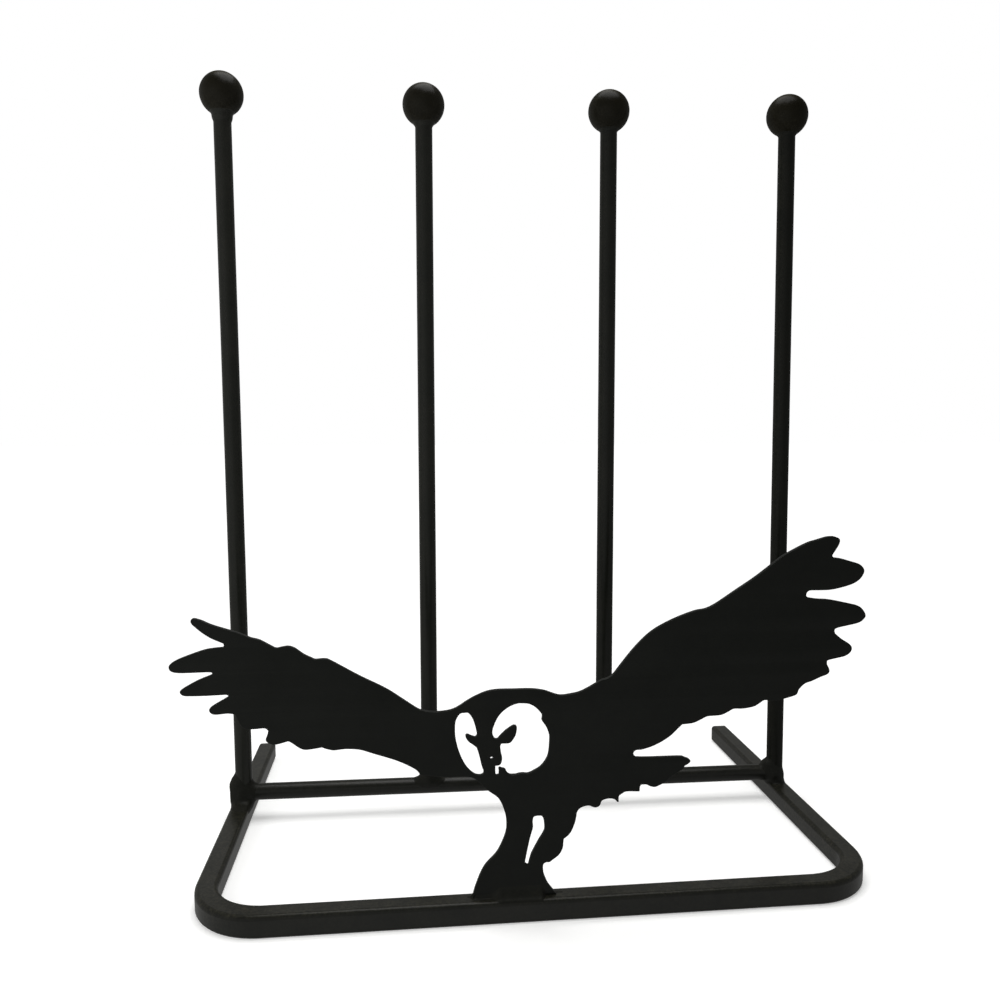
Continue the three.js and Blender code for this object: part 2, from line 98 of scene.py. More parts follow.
# Owl plate
PLATE_BEVEL = 0.28 * MM
PLATE_BEVEL_STEPS = 2
CORNER_TURN = math.radians(26)
CURVE_STEPS = 4
HANDLE_SHARE = 1 / 3
POINT_KEYS_PER_METRE = 1e6
FACE_TOLERANCE = 0.01 * MM
MERGE_REACH = 0.004 * MM
EDGE_REACH = 0.02 * MM

# Paint that thickens the rods
PAINT_FILM = 0.12 * MM

# Edges that turn more than this are shaded sharp
SHARP_ANGLE = math.radians(32)

# Weld metal, where here and in the joints below a length without MM is counted in millimetres
GRID = 0.5
WELD_UNEVEN = 0.22 * MM
SMOOTH_WELD_UNEVEN = 0.11 * MM
LUMP_SCALE = 240
SMALL_LUMP_SCALE = 800
SMALL_LUMP_SHARE = 0.3
LUMP_RISE = 1.2
SMALLEST_SLOPE = 1e-6
STUB_INSET = 0.14 * MM
ROD_STUB_BELOW = 4 * MM

# Middle feet, where a rod meets the crossbar and the fillet's width, its melt, grows with height
MIDDLE_FIELD_LOW = (17, 9, 8)
MIDDLE_FIELD_HIGH = (17, 9, 20)
MIDDLE_STUB = 15 * MM
MIDDLE_MELT_BELOW = 0.4
MIDDLE_MELT_RISE = (-2 * MM, 5 * MM)
MIDDLE_MELTS = ((2, 8.0), (3, 7.0))

# End feet, where a rod, the crossbar's cut end and the base's leg meet
LEFT_ROD = 1
RIGHT_ROD = 4
END_FIELD_LOW = (11, 28, 6)
END_FIELD_HIGH = (11, 13, 24)
END_ROD_STUB = 18 * MM
END_BAR_STUB = 20 * MM
LEG_STUB_LOW = (0, 26, 5)
LEG_STUB_BACK = 11 * MM
MELT_TURN = 5 * MM

# Melts of an end foot: outward of the rod, inward of it, and down into the leg
LEFT_MELTS = (4.5, 6.5, 6.0)
RIGHT_MELTS = (1.0, 7.5, 5.0)

# Drops of metal at an end foot: place from where the rod meets the crossbar, radii and melt
LEFT_DROPS = (
    ((-4.4, 0, 4.6), (5.8, 6.2, 9.2), 4.0),
    ((-2.0, -4.2, -2.4), (5.4, 4.4, 5.0), 4.5),
    ((0.0, -4.5, -7.9), (6.0, 12.0, 3.0), 5.0),
)
RIGHT_DROPS = (
    ((-1.0, -4.6, -1.2), (4.6, 3.4, 5.0), 4.0),
    ((2.2, -1.6, -5.2), (3.2, 4.6, 2.4), 2.5),
    ((0.6, -5.6, -4.8), (3.2, 3.4, 3.0), 2.5),
    ((-6.6, 0, 6.2), (3.2, 4.6, 3.4), 4.0),
)

# Weld of the owl's foot, a slope between stubs of the foot and of the front bar
OWL_FIELD_LOW = (17, 2, 5)
OWL_FIELD_HIGH = (7, 1, 9)
OWL_STUB_BELOW = 4 * MM
OWL_FOOT_LEFT = 9.5 * MM
OWL_FOOT_RIGHT = 6.5 * MM
OWL_FOOT_RISE = 7.5 * MM
OWL_FOOT_ROUNDING = 0.2
OWL_BAR_LEFT = 16 * MM
OWL_BAR_RIGHT = 6 * MM
OWL_BAR_MELT = 0.6
OWL_WELD_MELT = 1.8
OWL_WELD_LEAN = 1.3
OWL_WELD_BACK = 0.4
OWL_WELD_FRONT = 1.3 * MM

# Height of that slope, and where each rise begins from the CAD bead's left end and ends from its right
LEVEL_OUTSIDE = -4.0
RISE_UNDER_FOOT = 5.2
UNDER_FOOT_SPAN = ((-14 * MM, -10 * MM), (-9 * MM, -5 * MM))
RISE_OF_BEAD = 3.8
BEAD_SPAN = ((-2 * MM, 6 * MM), (-9 * MM, 0))

# Necks, where a rod's stub meets the cap of its ball
NECK_REACH = 10.5 * MM
NECK_BELOW = 14 * MM
NECK_ABOVE = 5 * MM
CAP_HEIGHT = 3.6 * MM
NECK_STUB_LOW = 12 * MM
NECK_STUB_HIGH = 10 * MM
COLLAR_BELOW = 1 * MM
COLLAR_HALF_HEIGHT = 3.6
COLLAR_MELT = 2.5

# Each neck's rod, melt and radius of the collar, where it has one
NECKS = ((1, 4.0, 6.7), (2, 3.4, 0), (3, 2.6, 0), (4, 2.6, 0))

# Paint, with noises as scale, detail and roughness, and the spans that they are read with
MOTTLE = (34.0, 5.0, 0.6)
CLOUD = (210.0, 4.0, 0.62)
GRAIN = (1500.0, 2.0, 0.5)
TONE_SHARES = (0.65, 0.35)
TONE_SPAN = (0.36, 0.64)
UPWARD_SPAN = (0.55, 0.98)
SPECK = (900.0, 6.0, 0.75)
SPECK_SPAN = (0.48, 0.74)
SPECK_SHARE = 0.5
SETTLING = (60.0, 4.0, 0.6)
SETTLING_SPAN = (0.3, 0.75, 0.35, 1.0)
FRONTAL_SPAN = (0.5, 1.0, 1.0, 0.12)
GRIT = (620.0, 4.0, 0.75)
GRIT_SPAN = (0.4, 0.66)
STAIN = (75.0, 5.0, 0.65)
STAIN_SPAN = (0.32, 0.7, 0.35, 1.0)
PATCHES = (90.0, 6.0, 0.7)
PATCHES_SPAN = (0.4, 0.66, 0.25, 1.0)
GLOSS_SHARES = (0.6, 0.4)
GLOSS_SPAN = (0.35, 0.65)
DUST_ROUGHNESS = 0.12
PEEL = (620.0, 2.0, 0.5)
PEEL_DEPTH = 0.05 * MM
WAVE_DEPTH = 0.9 * MM
GRAIN_DEPTH = 0.02 * MM
COAT_IOR = 1.5
DUST_COLOUR = (0.080, 0.077, 0.056)
# Lighter, yellower dust for the balls' tops, which there is also a painted highlight
BALL_DUST_AND_HIGHLIGHT_COLOUR = (0.1, 0.088, 0.04)
GRIT_COLOUR = (0.052, 0.049, 0.034)
RUBBED_COLOUR = (0.05, 0.049, 0.045)

# Numbers of the sockets of a node that mixes colours
MIX_SHARE = 0
MIX_FIRST = 6
MIX_SECOND = 7
MIX_RESULT = 2

# Kinds of paint, by their darkest and lightest tone, their roughness, and what sets each apart
SATIN = (0.4, 0.5)
MATT = (0.45, 0.58)
RAIL_PAINT = {
    "dark": (0.0030, 0.0034, 0.0024), "light": (0.0062, 0.0064, 0.0046), "roughness": SATIN,
    "film": 0.36, "grit": 0.5, "peel": 1.0, "edge": 0.0, "corner_film": 0.75,
}
CROSSBAR_PAINT = {
    "dark": (0.0030, 0.0034, 0.0024), "light": (0.0060, 0.0062, 0.0046), "roughness": SATIN,
    "film": 0.32, "grit": 0.3, "peel": 0.6,
}
ROD_PAINT = {"roughness": SATIN, "grit": 0.2}
ROD_DARK = (0.0026, 0.0031, 0.0021)
ROD_LIGHT = (0.0046, 0.0048, 0.0035)
# Balls: their heavy dust on top is partly a painted highlight
BALL_PAINT = {
    "dark": (0.0030, 0.0026, 0.0008), "light": (0.0052, 0.0045, 0.0020), "roughness": SATIN,
    "grit": 0.2, "dust_and_highlight": 0.4, "dust_and_highlight_colour": BALL_DUST_AND_HIGHLIGHT_COLOUR,
}
PLATE_PAINT = {
    "dark": (0.0014, 0.0019, 0.0011), "light": (0.0026, 0.0032, 0.0022), "roughness": MATT,
    "waves": 0.35, "film": 0.21, "dust_and_highlight": 0.05,
}
WELD_PAINT = {
    "dark": (0.0034, 0.0038, 0.0027), "light": (0.0058, 0.0060, 0.0045), "roughness": MATT,
    "dust_and_highlight": 0.05, "film": 0.2, "film_rough": 0.48, "grit": 0.2,
}

# Gloss of the four rods and balls from left to right, and painted light on the rods: each rod's colour
# is made lighter towards the left, where more light falls
ROD_FILMS = (0.29, 0.27, 0.22, 0.15)
ROD_PAINTED_LIGHT = (1.5, 1.5, 1.2, 1.0)
BALL_FILMS = (0.175, 0.17, 0.15, 0.115)

# Stage, with spans as from, to, strength at the first and strength at the second
FLOOR_HALF = 12.0
FLOOR_COLOUR = (0.8, 0.8, 0.79, 1)
FLOOR_GLOW_COLOUR = (1, 1, 0.995, 1)
MIRRORED_COLOUR = (1, 1, 0.99, 1)
STUDIO_COLOUR = (1, 1, 1, 1)
FLOOR_GLOW = (0.25, 2.2, 0.36, 0.86)
WORLD_FILL = 0.3
CEILING = (0.2, 0.85, 1.0, 0.35)
ROOM_ACROSS = (-0.35, 0.55, 1.0, 0.58)
MIRRORED_ACROSS = (-0.4, 0.7, 1.12, 0.6)
MIRRORED_BEHIND = (-0.6, 0.3, 1.0, 0.78)
KEY_LIGHT = {"place": (0.05, 0.05, 1.4), "aim": (0.02, 0.03, 0.0), "size": (1.0, 0.8), "power": 14}
FILL_LIGHT = {"place": (-0.75, -0.7, 0.45), "aim": (-0.1, -0.02, 0.2), "size": (0.6, 0.6), "power": 5}


def offset(place):
    """A vector from a place in millimetres."""
    return Vector([value * MM for value in place])


def round_radius():
    """Radius of the round bar that the rods and the crossbar share."""
    low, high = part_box("crossbar")
    return (high.z - low.z) / 2


def mesh_ends(node, along):
    """Middles of a bar's two ends along an axis, from the bar's own corners."""
    places = sorted({tuple(v.co) for v in cad[node].data.vertices}, key=lambda place: place[along])
    half = len(places) // 2
    return [sum((Vector(p) for p in end), Vector()) / half for end in (places[:half], places[-half:])]


# Making pieces

def finished(name, mesh, material, nodes, wear=None):
    """Turns a mesh into a piece that rides on the rack and stands for the CAD nodes it is given."""
    if wear is not None:
        layer = mesh.attributes.new("wear", "FLOAT", "POINT")
        layer.data.foreach_set("value", wear)
    mesh.polygons.foreach_set("use_smooth", [True] * len(mesh.polygons))
    mesh.set_sharp_from_angle(angle=SHARP_ANGLE)
    piece = bpy.data.objects.new(name, mesh)
    bpy.context.scene.collection.objects.link(piece)
    mesh.materials.clear()
    mesh.materials.append(material)
    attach(piece, "root")
    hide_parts(*nodes)


def turn_outward(mesh, merge=0.0):
    """Turns a mesh's faces outward, after points closer together than merge are made one."""
    bm = bmesh.new()
    bm.from_mesh(mesh)
    if merge:
        bmesh.ops.remove_doubles(bm, verts=bm.verts, dist=merge)
    bmesh.ops.recalc_face_normals(bm, faces=bm.faces)
    bm.to_mesh(mesh)
    bm.free()


def skinned(rings):
    """A closed mesh over rings of points, with a flat face at either end."""
    count = len(rings[0])
    points = [p for ring in rings for p in ring]
    faces = [list(range(count))[::-1]]
    for row in range(len(rings) - 1):
        here, there = row * count, (row + 1) * count
        for k in range(count):
            after = (k + 1) % count
            faces.append([here + k, here + after, there + after, there + k])
    faces.append([(len(rings) - 1) * count + k for k in range(count)])
    mesh = bpy.data.meshes.new("skin")
    mesh.from_pydata([tuple(p) for p in points], [], faces)
    mesh.validate()
    turn_outward(mesh)
    return mesh


def across_axis(direction):
    """Two unit vectors square to a direction."""
    side = direction.cross(Vector((0, 1, 0)))
    if side.length < NEARLY_ALONG:
        side = direction.cross(Vector((1, 0, 0)))
    side.normalize()
    return side, direction.cross(side).normalized()


def round_bar(start, end, radius):
    """A rolled round bar between two points, a little uneven, with its cut ends broken."""
    direction = (end - start).normalized()
    length = (end - start).length
    side, other = across_axis(direction)
    bevel = [CUT_BEVEL * share for share in BEVEL_SHARES]
    steps = max(2, round(length / BAR_STEP))
    run = length - 2 * bevel[-1]
    places = bevel + [bevel[-1] + run * i / steps for i in range(1, steps + 1)]
    places += [length - place for place in reversed(bevel[:-1])]
    rings = []
    wear = []
    for place in places:
        near = min(place, length - place)
        inset = max(0.0, CUT_BEVEL - near)
        ring = []
        for k in range(ROUND_SEGMENTS):
            turn = 2 * math.pi * k / ROUND_SEGMENTS
            out = side * math.cos(turn) + other * math.sin(turn)
            spot = start + direction * place + out * radius
            uneven = BAR_UNEVEN * noise.noise(spot * BAR_UNEVEN_SCALE)
            ring.append(spot + out * (uneven - inset * inset / CUT_BEVEL * BEVEL_ROUNDING))
            wear.append(1.0 if near < CUT_BEVEL * BEVEL_WEAR_SHARE else 0.0)
        rings.append(ring)
    return skinned(rings), wear


# Base: a square bar bent to a U

def rail_route():
    """Places along the bar's middle line: (point, outward direction, how much it is bent)."""
    low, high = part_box("base_rail")
    half_bar = (high.z - low.z) / 2
    left, right = low.x + half_bar, high.x - half_bar
    front, back = low.y + half_bar, high.y
    bend = BEND_RADIUS - half_bar
    route = []

    def straight(a, b, outward, skip_first):
        """Adds the places of a straight run."""
        steps = max(1, round((b - a).length / RAIL_STEP))
        for i in range(1 if skip_first else 0, steps + 1):
            route.append((a.lerp(b, i / steps), outward, 0.0))

    def bent(centre, first, last):
        """Adds the places of a bend from one angle to another, in degrees."""
        for i in range(1, BEND_STEPS + 1):
            share = i / BEND_STEPS
            turn = math.radians(first + (last - first) * share)
            outward = Vector((math.cos(turn), math.sin(turn), 0))
            ease = math.sqrt(math.sin(math.pi * share)) if share < 1 else 0.0
            route.append((centre + outward * bend, outward, ease))

    z = half_bar
    straight(Vector((left, back, z)), Vector((left, front + bend, z)), Vector((-1, 0, 0)), False)
    bent(Vector((left + bend, front + bend, z)), 180, 270)
    straight(Vector((left + bend, front, z)), Vector((right - bend, front, z)), Vector((0, -1, 0)), True)
    bent(Vector((right - bend, front + bend, z)), 270, 360)
    straight(Vector((right, front + bend, z)), Vector((right, back, z)), Vector((1, 0, 0)), True)
    return route, half_bar


def square_profile(half, corner):
    """Points round a square bar as (outward, up), and how much each is on a corner."""
    points = []
    for quarter in range(4):
        middle = math.radians(45 + 90 * quarter)
        flat = half - corner
        out, up = math.copysign(flat, math.cos(middle)), math.copysign(flat, math.sin(middle))
        for i in range(CORNER_STEPS + 1):
            turn = math.radians(90 * quarter + 90 * i / CORNER_STEPS)
            points.append((out + corner * math.cos(turn), up + corner * math.sin(turn), 1.0))
        out, up, _ = points[-1]
        turn = math.radians(90 * quarter + 90)
        for share in FACE_SHARES:
            go = 2 * flat * share
            points.append((out - math.sin(turn) * go, up + math.cos(turn) * go, 0.0))
    return points


def base_rail(material):
    """The bent bar of the base, a little swollen outside its bends, with both cut ends broken."""
    route, half = rail_route()
    profile = square_profile(half, BAR_CORNER)
    first, last = route[0][0], route[-1][0]
    inward = Vector((0, -1, 0))
    broken = CUT_BEVEL * RAIL_BEVEL_SHARE
    ends = [(0.0, CUT_BEVEL), (broken, broken), (CUT_BEVEL, 0.0)]
    places = [(first + inward * go, route[0][1], 0.0, inset) for go, inset in ends]
    places += [(p, outward, bent, 0.0) for p, outward, bent in route[1:-1]]
    places += [(last + inward * go, route[-1][1], 0.0, inset) for go, inset in reversed(ends)]
    rings = []
    wear = []
    for point, outward, bent, inset in places:
        ring = []
        for out, up, corner in profile:
            shrink = 1 - inset / half
            swell = BEND_SWELL * bent * out / half
            lift = -swell if up > 0 else max(0.0, swell * SWELL_BELOW_SHARE)
            spot = point + outward * (out * shrink) + Vector((0, 0, up * shrink + lift))
            ring.append(spot - outward * (RAIL_UNEVEN * abs(noise.noise(spot * RAIL_UNEVEN_SCALE))))
            wear.append(max(corner, 1.0 if inset else 0.0))
        rings.append(ring)
    finished("rail", skinned(rings), material, ["base_rail"], wear)


# Making the owl plate

def plate_loops(node):
    """Closed outlines of the plate's front face, as lists of (x, z)."""
    mesh = cad[node].data
    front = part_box(node)[0].y

    def key(corner):
        """A corner's place on the plate as whole numbers, to match it with its neighbours' corners."""
        return tuple(round(place * POINT_KEYS_PER_METRE) for place in (corner.co.x, corner.co.z))

    sides = set()
    for face in mesh.polygons:
        corners = [mesh.vertices[i] for i in face.vertices]
        if any(abs(c.co.y - front) > FACE_TOLERANCE for c in corners):
            continue
        keys = [key(c) for c in corners]
        for a, b in zip(keys, keys[1:] + keys[:1]):
            if (b, a) in sides:
                sides.remove((b, a))
            else:
                sides.add((a, b))
    follow = dict(sides)
    loops = []
    while follow:
        start = min(follow)
        loop = []
        here = start
        while here in follow:
            loop.append(tuple(place / POINT_KEYS_PER_METRE for place in here))
            here = follow.pop(here)
        loops.append(loop)
    return loops


def smooth_spline(curve, loop):
    """Adds a closed spline through the points, smooth except at the corners of the cut."""
    points = [Vector((x, z, 0)) for x, z in loop]
    spline = curve.splines.new("BEZIER")
    spline.use_cyclic_u = True
    spline.resolution_u = CURVE_STEPS
    spline.bezier_points.add(len(points) - 1)
    for i, point in enumerate(points):
        before, after = points[i - 1], points[(i + 1) % len(points)]
        arrive, leave = point - before, after - point
        handle = spline.bezier_points[i]
        handle.handle_left_type = handle.handle_right_type = "FREE"
        handle.co = point
        if arrive.angle(leave) > CORNER_TURN:
            handle.handle_left = point - arrive * HANDLE_SHARE
            handle.handle_right = point + leave * HANDLE_SHARE
        else:
            along = (after - before).normalized()
            handle.handle_left = point - along * arrive.length * HANDLE_SHARE
            handle.handle_right = point + along * leave.length * HANDLE_SHARE


def owl_plate(material):
    """The owl, cut from plate along the CAD outline, with a fine rounded edge."""
    low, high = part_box("owl_plate")
    half, middle = (high.y - low.y) / 2, (low.y + high.y) / 2
    curve = bpy.data.curves.new("owl_outline", "CURVE")
    curve.dimensions = "2D"
    curve.fill_mode = "BOTH"
    curve.bevel_depth = PLATE_BEVEL
    curve.bevel_resolution = PLATE_BEVEL_STEPS
    curve.offset = -PLATE_BEVEL
    curve.extrude = half - PLATE_BEVEL
    for loop in plate_loops("owl_plate"):
        smooth_spline(curve, loop)
    outline = bpy.data.objects.new("owl_outline", curve)
    bpy.context.scene.collection.objects.link(outline)
    bpy.context.view_layer.update()
    seen = outline.evaluated_get(bpy.context.evaluated_depsgraph_get())
    mesh = bpy.data.meshes.new_from_object(seen)
    bpy.data.objects.remove(outline)
    upright = Matrix.Rotation(math.pi / 2, 4, "X")
    mesh.transform(Matrix.Translation((0, middle, 0)) @ upright)
    turn_outward(mesh, MERGE_REACH)
    wear = [0.0 if abs(v.co.y - middle) > half - EDGE_REACH else 1.0 for v in mesh.vertices]
    finished("owl", mesh, material, ["owl_plate"], wear)


# Making weld metal

class Field:
    """Distances to melted forms, sampled on a grid round the place of one weld, in millimetres."""

    def __init__(self, low, high):
        axes = [np.arange(a / MM, b / MM + GRID, GRID) for a, b in zip(low, high)]
        self.low = np.array([axis[0] for axis in axes])
        self.grid = np.stack(np.meshgrid(*axes, indexing="ij"), axis=-1)
        self.metal = None
        self.bars = None

    def bar(self, start, end, radius):
        """Distance to a round bar with flat ends."""
        start, end = np.array(start) / MM, np.array(end) / MM
        length = np.linalg.norm(end - start)
        axis = (end - start) / length
        reach = self.grid - (start + end) / 2
        along = reach @ axis
        off = np.linalg.norm(reach - along[..., None] * axis, axis=-1)
        return np.maximum(off - radius / MM, np.abs(along) - length / 2)

    def block(self, low, high, rounding):
        """Distance to a box with rounded edges."""
        low, high = np.array(low) / MM, np.array(high) / MM
        past = np.abs(self.grid - (low + high) / 2) - (high - low) / 2 + rounding
        outside = np.linalg.norm(np.maximum(past, 0), axis=-1)
        return outside + np.minimum(past.max(axis=-1), 0) - rounding

    def globe(self, centre, radius):
        """Distance to a ball."""
        return np.linalg.norm(self.grid - np.array(centre) / MM, axis=-1) - radius / MM

    def drop(self, centre, radii):
        """Distance to a drop of metal with three radii, in millimetres."""
        reach = (self.grid - np.array(centre) / MM) / np.array(radii)
        size = np.linalg.norm(reach, axis=-1)
        slope = np.linalg.norm(reach / np.array(radii), axis=-1)
        return size * (size - 1) / np.maximum(slope, SMALLEST_SLOPE)

    def add(self, distance, melt, is_bar=True):
        """Joins a form to the rest with a fillet about as wide as melt, in millimetres."""
        if is_bar:
            self.bars = distance if self.bars is None else np.minimum(self.bars, distance)
        if self.metal is None:
            self.metal = distance
            return
        share = np.clip(0.5 + 0.5 * (self.metal - distance) / melt, 0, 1)
        self.metal = self.metal * (1 - share) + distance * share - melt * share * (1 - share)

    def ramp(self, axis, first, last):
        """Rises smoothly from 0 to 1 between two places along an axis."""
        share = np.clip((self.grid[..., axis] - first / MM) / ((last - first) / MM), 0, 1)
        return share * share * (3 - 2 * share)

    def mesh(self):
        """A closed mesh where the metal's distance crosses zero, with one point in each cut cell."""
        field = self.metal
        cells = tuple(n - 1 for n in field.shape)
        inside = field < 0
        total = np.zeros((*cells, 3))
        hits = np.zeros(cells)
        for axis in range(3):
            others = [i for i in range(3) if i != axis]
            for one in (0, 1):
                for two in (0, 1):
                    start = [0, 0, 0]
                    start[others[0]], start[others[1]] = one, two
                    end = list(start)
                    end[axis] = 1
                    near = field[tuple(slice(o, o + n) for o, n in zip(start, cells))]
                    far = field[tuple(slice(o, o + n) for o, n in zip(end, cells))]
                    cut = (near < 0) != (far < 0)
                    gap = np.where(cut, near - far, 1.0)
                    place = np.zeros((*cells, 3)) + np.array(start, float)
                    place[..., axis] = near / gap
                    total += np.where(cut[..., None], place, 0)
                    hits += cut
        used = hits > 0
        number = np.full(cells, -1)
        number[used] = np.arange(used.sum())
        points = (np.argwhere(used) + total[used] / hits[used][:, None]) * GRID + self.low
        faces = []
        for axis in range(3):
            near = [slice(1, n) for n in cells]
            near[axis] = slice(0, cells[axis])
            far = list(near)
            far[axis] = slice(1, cells[axis] + 1)
            here, there = inside[tuple(near)], inside[tuple(far)]
            one, two = [i for i in range(3) if i != axis]
            around = []
            for back_one, back_two in ((1, 1), (0, 1), (0, 0), (1, 0)):
                place = [slice(1, n) for n in cells]
                place[axis] = slice(0, cells[axis])
                place[one] = slice(1 - back_one, cells[one] - back_one)
                place[two] = slice(1 - back_two, cells[two] - back_two)
                around.append(number[tuple(place)])
            quads = np.stack(around, axis=-1)
            flip = axis == Y
            for change, backwards in ((here & ~there, flip), (~here & there, not flip)):
                chosen = quads[change]
                faces += (chosen[:, ::-1] if backwards else chosen).tolist()
        made = bpy.data.meshes.new("weld")
        made.from_pydata((points * MM).tolist(), [], faces)
        cell = ((points - self.low) / GRID).round().astype(int)
        cell = np.clip(cell, 0, np.array(field.shape) - 1)
        return made, self.bars[cell[:, 0], cell[:, 1], cell[:, 2]]


def weld_metal(name, field, material, nodes, rough=WELD_UNEVEN):
    """Makes a field's metal into a piece, uneven as if hand-laid where it stands proud of the bars."""
    mesh, proud = field.mesh()
    outward = [corner.normal.copy() for corner in mesh.vertices]
    for corner, out, height in zip(mesh.vertices, outward, proud):
        share = min(max((height - STUB_INSET / MM) / LUMP_RISE, 0.0), 1.0)
        lumps = noise.noise(corner.co * LUMP_SCALE)
        lumps += SMALL_LUMP_SHARE * noise.noise(corner.co * SMALL_LUMP_SCALE)
        corner.co += out * (rough * lumps * share)
    finished(name, mesh, material, nodes, [0.0] * len(mesh.vertices))


def rod_axis(number):
    """A rod's foot, its top and the direction between them."""
    foot, top = mesh_ends(f"rod_{number}", Z)
    return foot, top, (top - foot).normalized()


def crossbar_at(across):
    """The place on the crossbar's middle line at a place across the rack."""
    left, right = mesh_ends("crossbar", X)
    return left.lerp(right, (across - left.x) / (right.x - left.x))


def middle_foot(number, melt, material):
    """Weld metal that joins a middle rod's foot to the crossbar, flowing into both."""
    foot, _, axis = rod_axis(number)
    radius = round_radius() - STUB_INSET
    centre = crossbar_at(foot.x)
    field = Field(centre - offset(MIDDLE_FIELD_LOW), centre + offset(MIDDLE_FIELD_HIGH))
    field.add(field.bar(foot - axis * ROD_STUB_BELOW, foot + axis * MIDDLE_STUB, radius), 0)
    low_end, high_end = MIDDLE_MELT_RISE
    above = field.ramp(Z, centre.z + low_end, centre.z + high_end)
    across = field.bar(crossbar_at(foot.x - MIDDLE_STUB), crossbar_at(foot.x + MIDDLE_STUB), radius)
    field.add(across, MIDDLE_MELT_BELOW + melt * above)
    weld_metal(f"foot_joint_{number}", field, material, [f"foot_weld_{number}"])


def end_foot(number, hand, outward, cut, drops, melts, material):
    """Weld metal that joins an end rod, the crossbar's cut end and the base's leg under them."""
    foot, _, axis = rod_axis(number)
    radius = round_radius() - STUB_INSET
    rail_low, rail_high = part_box("base_rail")
    width = rail_high.z - rail_low.z
    outer = rail_low.x if outward < 0 else rail_high.x
    left, right = sorted((outer, outer - outward * width))
    bar = crossbar_at(foot.x)
    field = Field(
        Vector((left, bar.y, rail_high.z)) - offset(END_FIELD_LOW),
        Vector((right, bar.y, bar.z)) + offset(END_FIELD_HIGH),
    )
    field.add(field.bar(foot - axis * ROD_STUB_BELOW, foot + axis * END_ROD_STUB, radius), 0)
    melt_out, melt_in, melt_down = melts
    side = field.ramp(X, foot.x - MELT_TURN, foot.x + MELT_TURN)
    inward_share = 1 - side if outward > 0 else side
    across = field.bar(cut, crossbar_at(foot.x - outward * END_BAR_STUB), radius)
    field.add(across, melt_out + (melt_in - melt_out) * inward_share)
    stub_low = Vector((left + STUB_INSET, bar.y, rail_high.z)) - offset(LEG_STUB_LOW)
    stub_high = Vector((right - STUB_INSET, bar.y + LEG_STUB_BACK, rail_high.z - STUB_INSET))
    field.add(field.block(stub_low, stub_high, BAR_CORNER / MM), melt_down)
    for place, radii, melt in drops:
        spot = Vector((foot.x, bar.y, bar.z)) + offset(place)
        field.add(field.drop(spot, radii), melt, False)
    nodes = [f"foot_weld_{number}", f"rail_weld_{hand}_front", f"rail_weld_{hand}_back"]
    weld_metal(f"foot_joint_{number}", field, material, nodes)


def owl_joint(material):
    """The weld that joins the owl's foot to the base, a fillet in the corner along the plate's front."""
    plate_low, plate_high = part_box("owl_plate")
    bead_low, bead_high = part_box("owl_weld")
    rail_low, rail_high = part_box("base_rail")
    top = rail_high.z
    back = rail_low.y + (rail_high.z - rail_low.z)
    field = Field(
        Vector((bead_low.x, rail_low.y, top)) - offset(OWL_FIELD_LOW),
        Vector((bead_high.x, back, top)) + offset(OWL_FIELD_HIGH),
    )
    plate = field.block(
        Vector((bead_low.x - OWL_FOOT_LEFT, plate_low.y + STUB_INSET, top - OWL_STUB_BELOW)),
        Vector((bead_high.x - OWL_FOOT_RIGHT, plate_high.y - STUB_INSET, top + OWL_FOOT_RISE)),
        OWL_FOOT_ROUNDING,
    )
    rail = field.block(
        Vector((bead_low.x - OWL_BAR_LEFT, rail_low.y + STUB_INSET, top - OWL_STUB_BELOW)),
        Vector((bead_high.x + OWL_BAR_RIGHT, back - STUB_INSET, top - STUB_INSET)),
        BAR_CORNER / MM,
    )
    field.add(plate, 0)
    field.add(rail, OWL_BAR_MELT)

    def between(span):
        """Rises to 1 near the bead's left end and falls back to 0 near its right end."""
        rising, falling = span
        up = field.ramp(X, bead_low.x + rising[0], bead_low.x + rising[1])
        return up * (1 - field.ramp(X, bead_high.x + falling[0], bead_high.x + falling[1]))

    height = LEVEL_OUTSIDE + RISE_UNDER_FOOT * between(UNDER_FOOT_SPAN)
    height = height + RISE_OF_BEAD * between(BEAD_SPAN)
    forward = plate_low.y / MM - field.grid[..., Y]
    rise = field.grid[..., Z] - top / MM
    slope = (forward * OWL_WELD_LEAN + rise - height) / math.hypot(OWL_WELD_LEAN, 1)
    past_back = field.grid[..., Y] - plate_high.y / MM + OWL_WELD_BACK
    past_front = (rail_low.y + OWL_WELD_FRONT) / MM - field.grid[..., Y]
    field.add(np.maximum(np.maximum(slope, past_back), past_front), OWL_WELD_MELT, False)
    weld_metal("owl_joint", field, material, ["owl_weld"], SMOOTH_WELD_UNEVEN)


def neck_joint(number, melt, collar, material):
    """Weld metal that closes the corner between a rod's top and its ball."""
    _, _, axis = rod_axis(number)
    low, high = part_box(f"finial_{number}")
    ball, radius = (low + high) / 2, (high.x - low.x) / 2
    field = Field(
        (ball.x - NECK_REACH, ball.y - NECK_REACH, low.z - NECK_BELOW),
        (ball.x + NECK_REACH, ball.y + NECK_REACH, low.z + NECK_ABOVE),
    )
    cap = field.globe(ball, radius - STUB_INSET)
    flat_top = field.grid[..., Z] - (low.z + CAP_HEIGHT) / MM
    field.add(np.maximum(cap, flat_top), 0)
    stub_low, stub_high = ball - axis * (radius + NECK_STUB_LOW), ball - axis * NECK_STUB_HIGH
    field.add(field.bar(stub_low, stub_high, round_radius() - STUB_INSET), melt)
    if collar:
        drop = field.drop(ball - axis * (radius + COLLAR_BELOW), (collar, collar, COLLAR_HALF_HEIGHT))
        field.add(drop, COLLAR_MELT, False)
    nodes = [f"neck_weld_{number}"]
    weld_metal(f"neck_joint_{number}", field, material, nodes, SMOOTH_WELD_UNEVEN)


